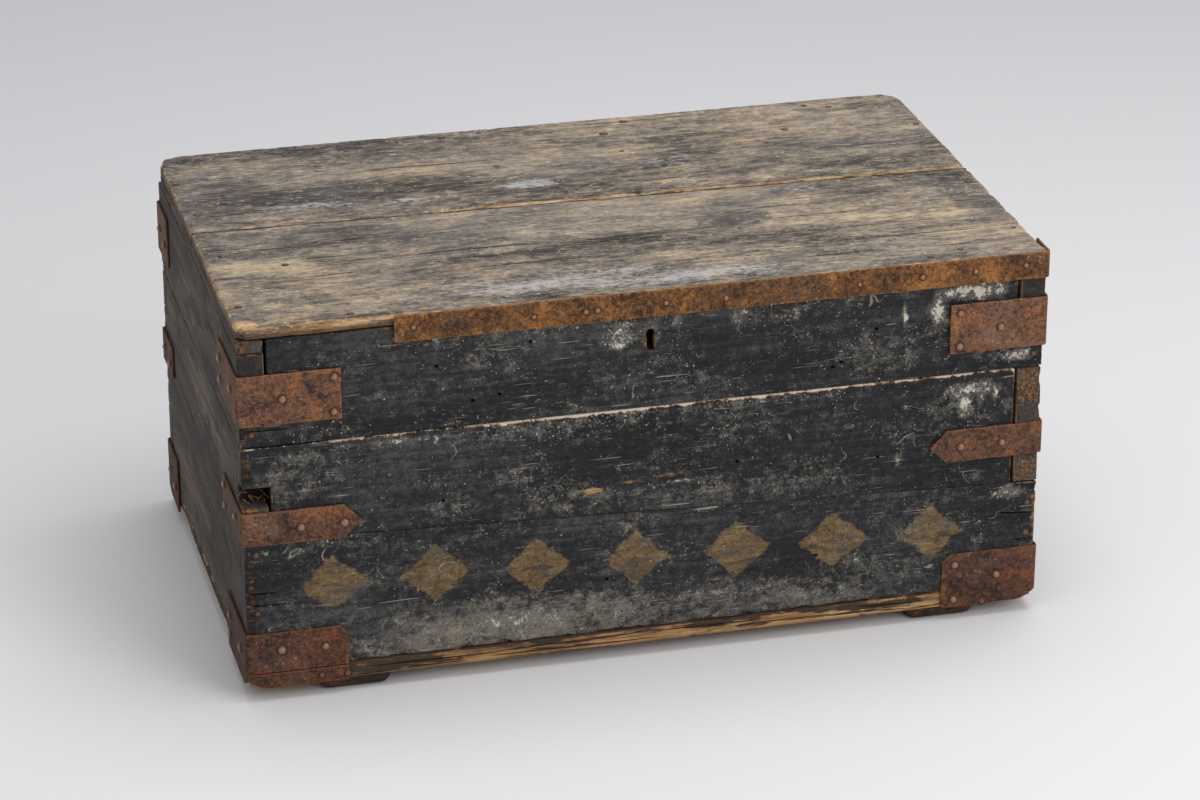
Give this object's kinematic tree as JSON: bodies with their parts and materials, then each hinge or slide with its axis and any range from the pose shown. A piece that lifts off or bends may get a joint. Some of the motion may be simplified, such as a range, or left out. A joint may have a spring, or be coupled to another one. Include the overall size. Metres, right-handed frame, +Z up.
{
  "type": "sea chest",
  "caption": "Flat-lidded board sea chest with finger-jointed corners, rusty corner irons, an iron lid band, strap hinges, a rim lock and runners below.",
  "frame": {"origin": "on the floor under the middle of the chest's box, irons and hinge barrels included", "axes": "+X along the chest to its right as seen from the front, +Y from the keyhole side to the hinge side, +Z up"},
  "size_m": [0.9196, 0.5566, 0.446],
  "materials": {
    "lid_wood": "bare weathered grey-brown pine, worn tan in places",
    "black_paint": "old black paint on wood, scuffed and chipped",
    "end_wood": "dark paint worn thin over grey-brown wood",
    "raw_wood": "bare split brown pine",
    "rusty_iron": "sheet iron with even brown rust",
    "hinge_iron": "wrought iron, dark and rusty",
    "lock_iron": "dull worn iron"
  },
  "bodies": {
    "box": {"front_upper_board": "black_paint", "front_middle_board": "black_paint", "front_lower_board": "black_paint", "back_upper_board": "black_paint", "back_middle_board": "black_paint", "back_lower_board": "black_paint", "left_end_upper_board": "end_wood", "left_end_middle_board": "end_wood", "left_end_lower_board": "end_wood", "right_end_upper_board": "end_wood", "right_end_middle_board": "end_wood", "right_end_lower_board": "end_wood", "bottom_board_1": "raw_wood", "bottom_board_2": "raw_wood", "bottom_board_3": "raw_wood", "left_runner": "raw_wood", "right_runner": "raw_wood", "front_left_upper_iron": "rusty_iron", "front_left_middle_iron": "rusty_iron", "front_left_bottom_iron": "rusty_iron", "front_right_upper_iron": "rusty_iron", "front_right_middle_iron": "rusty_iron", "front_right_bottom_iron": "rusty_iron", "back_left_upper_iron": "rusty_iron", "back_left_middle_iron": "rusty_iron", "back_left_bottom_iron": "rusty_iron", "back_right_upper_iron": "rusty_iron", "back_right_middle_iron": "rusty_iron", "back_right_bottom_iron": "rusty_iron", "left_hinge_leaf": "hinge_iron", "left_hinge_pin": "hinge_iron", "right_hinge_leaf": "hinge_iron", "right_hinge_pin": "hinge_iron", "lock_plate": "lock_iron", "lock_case": "lock_iron", "bolt_spring": "lock_iron"},
    "lid": {"lid_front_board": "lid_wood", "lid_back_board": "lid_wood", "left_lid_batten": "end_wood", "right_lid_batten": "end_wood", "lid_band": "rusty_iron", "left_hinge_strap": "hinge_iron", "right_hinge_strap": "hinge_iron", "lid_staple": "lock_iron"},
    "bolt": {"lock_bolt": "lock_iron"}
  },
  "joints": [
    {"name": "lid_hinge", "type": "hinge", "parent": "box", "child": "lid", "pos_m": [0, 0.2718, 0.4257], "axis": [-1, 0, 0], "range_deg": [0, 105]},
    {"name": "lock_bolt_slide", "type": "slide", "parent": "box", "child": "bolt", "axis": [1, 0, 0], "range_m": [0, 0.012]}
  ]
}
